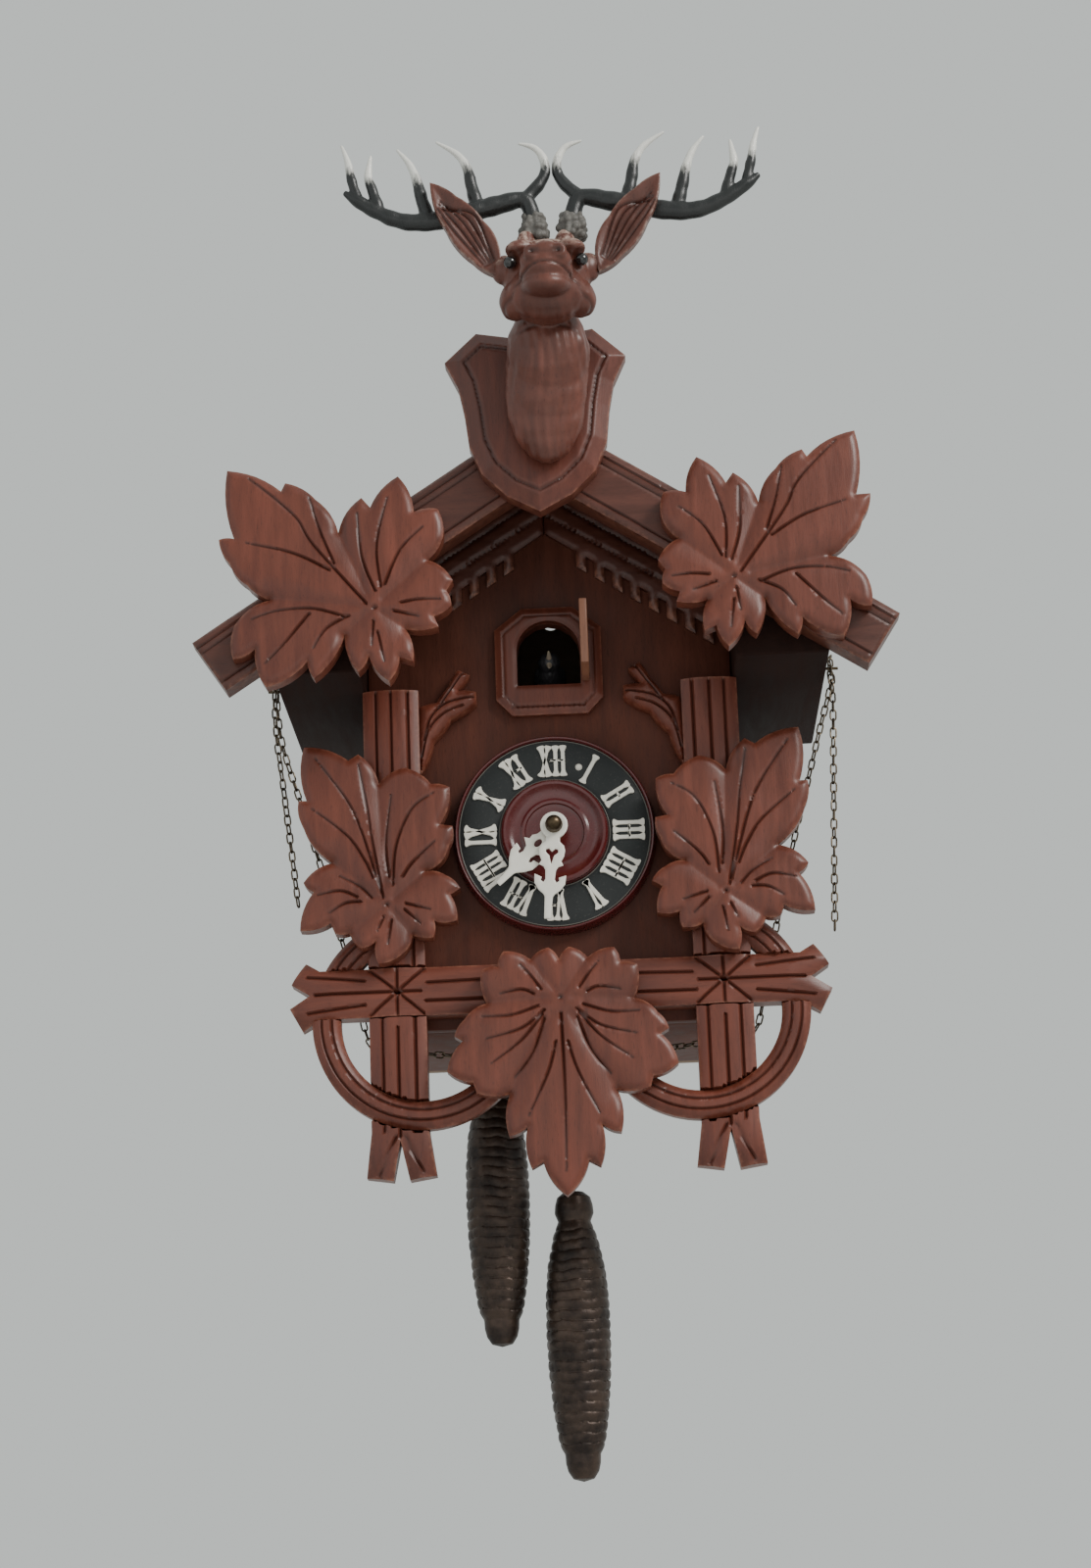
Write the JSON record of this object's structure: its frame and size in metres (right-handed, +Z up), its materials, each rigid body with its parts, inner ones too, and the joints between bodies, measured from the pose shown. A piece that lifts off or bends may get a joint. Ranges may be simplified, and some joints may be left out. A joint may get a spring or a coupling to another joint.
{
  "type": "cuckoo clock",
  "caption": "Wall cuckoo clock with a carved leaf and log front, stag's head, swinging door, turning hands and fir-cone weights on chains.",
  "frame": {"origin": "centre of the hanger hole, on the wall's surface", "axes": "+Z up, -Y out of the wall towards the viewer, +X to the viewer's right"},
  "size_m": [0.347, 0.266, 0.6425],
  "materials": {
    "carved_wood": "stained, satin varnish",
    "case_wood": "dark stain, matt",
    "plain_wood": "bare, matt",
    "maroon_plastic": "glossy maroon",
    "black_plastic": "matt black",
    "white_plastic": "ivory white",
    "antler_plastic": "dark with white tips",
    "cast_iron": "brown lacquer over a rough casting",
    "dark_wire": "darkened steel",
    "brass": "plain brass",
    "painted_bird": "painted dark, pale beak"
  },
  "bodies": {
    "case": {"antler_left": "antler_plastic", "antler_right": "antler_plastic", "back_board": "plain_wood", "barge_board_left": "carved_wood", "barge_board_right": "carved_wood", "bottom_board": "case_wood", "bottom_leaf": "carved_wood", "chain_nail_left": "dark_wire", "chain_nail_right": "dark_wire", "cross_bar_left": "carved_wood", "cross_bar_right": "carved_wood", "dentil_strip_left": "carved_wood", "dentil_strip_right": "carved_wood", "dial_dish": "maroon_plastic", "door_frame": "carved_wood", "ear_left": "carved_wood", "ear_right": "carved_wood", "free_chain_left": "dark_wire", "free_chain_right": "dark_wire", "front_board": "case_wood", "hoop_left": "carved_wood", "hoop_right": "carved_wood", "middle_leaf_left": "carved_wood", "middle_leaf_right": "carved_wood", "movement_back_plate": "brass", "movement_front_plate": "brass", "numeral_ring": "black_plastic", "post_left": "carved_wood", "post_right": "carved_wood", "roof_board_left": "case_wood", "roof_board_right": "case_wood", "shield": "carved_wood", "side_wall_left": "case_wood", "side_wall_right": "case_wood", "stag_head": "carved_wood", "top_leaf_left": "carved_wood", "top_leaf_right": "carved_wood", "twig_left": "carved_wood", "twig_right": "carved_wood", "whistle_left": "plain_wood", "whistle_right": "plain_wood"},
    "minute": {"cannon_pinion": "brass", "minute_hand": "white_plastic", "hand_nut": "brass"},
    "minute_gear": {"minute_wheel": "brass"},
    "hour": {"hour_wheel": "brass", "hour_hand": "white_plastic"},
    "door": {"cuckoo_door": "carved_wood"},
    "bird": {"cuckoo_bird": "painted_bird", "bird_arm": "dark_wire"},
    "left_weight": {"weight_left": "cast_iron", "weight_hook_left": "dark_wire", "weight_chain_left": "dark_wire"},
    "right_weight": {"weight_right": "cast_iron", "weight_hook_right": "dark_wire", "weight_chain_right": "dark_wire"},
    "left_wheel": {"chain_wheel_left": "brass"},
    "right_wheel": {"chain_wheel_right": "brass"},
    "left_bellows": {"bellows_top_left": "plain_wood"},
    "right_bellows": {"bellows_top_right": "plain_wood"}
  },
  "joints": [
    {"name": "minute_hand_turn", "type": "hinge", "parent": "case", "child": "minute", "pos_m": [0, -0.118, -0.15], "axis": [0, 1, 0], "continuous": true},
    {"name": "minute_wheel_turn", "type": "hinge", "parent": "case", "child": "minute_gear", "pos_m": [0, -0.1, -0.162], "axis": [0, 1, 0], "continuous": true},
    {"name": "hour_hand_turn", "type": "hinge", "parent": "case", "child": "hour", "pos_m": [0, -0.118, -0.15], "axis": [0, 1, 0], "continuous": true},
    {"name": "left_weight_run", "type": "slide", "parent": "case", "child": "left_weight", "axis": [0, 0, 1], "range_m": [-0.06, 0]},
    {"name": "left_chain_wheel_turn", "type": "hinge", "parent": "case", "child": "left_wheel", "pos_m": [-0.024, -0.06, -0.17], "axis": [0, 1, 0], "range_deg": [-290, 290]},
    {"name": "right_weight_run", "type": "slide", "parent": "case", "child": "right_weight", "axis": [0, 0, 1], "range_m": [-0.06, 0]},
    {"name": "right_chain_wheel_turn", "type": "hinge", "parent": "case", "child": "right_wheel", "pos_m": [0.014, -0.06, -0.17], "axis": [0, 1, 0], "range_deg": [-290, 290]},
    {"name": "door_hinge", "type": "hinge", "parent": "case", "child": "door", "pos_m": [0.0164, -0.1244, -0.072], "axis": [0, 0, 1], "range_deg": [-90, 5]},
    {"name": "bird_run", "type": "slide", "parent": "case", "child": "bird", "axis": [0, -1, 0], "range_m": [0, 0.03]},
    {"name": "left_bellows_lift", "type": "hinge", "parent": "case", "child": "left_bellows", "pos_m": [-0.069, -0.036, -0.1097], "axis": [-1, 0, 0], "range_deg": [0, 12]},
    {"name": "right_bellows_lift", "type": "hinge", "parent": "case", "child": "right_bellows", "pos_m": [0.069, -0.036, -0.1097], "axis": [-1, 0, 0], "range_deg": [0, 12]}
  ],
  "couplings": [
    {"joint": "minute_wheel_turn", "follows": "minute_hand_turn", "ratio": -0.33333},
    {"joint": "hour_hand_turn", "follows": "minute_hand_turn", "ratio": 0.083333},
    {"joint": "left_chain_wheel_turn", "follows": "left_weight_run", "rad_per_m": 80},
    {"joint": "right_chain_wheel_turn", "follows": "right_weight_run", "rad_per_m": 80}
  ]
}
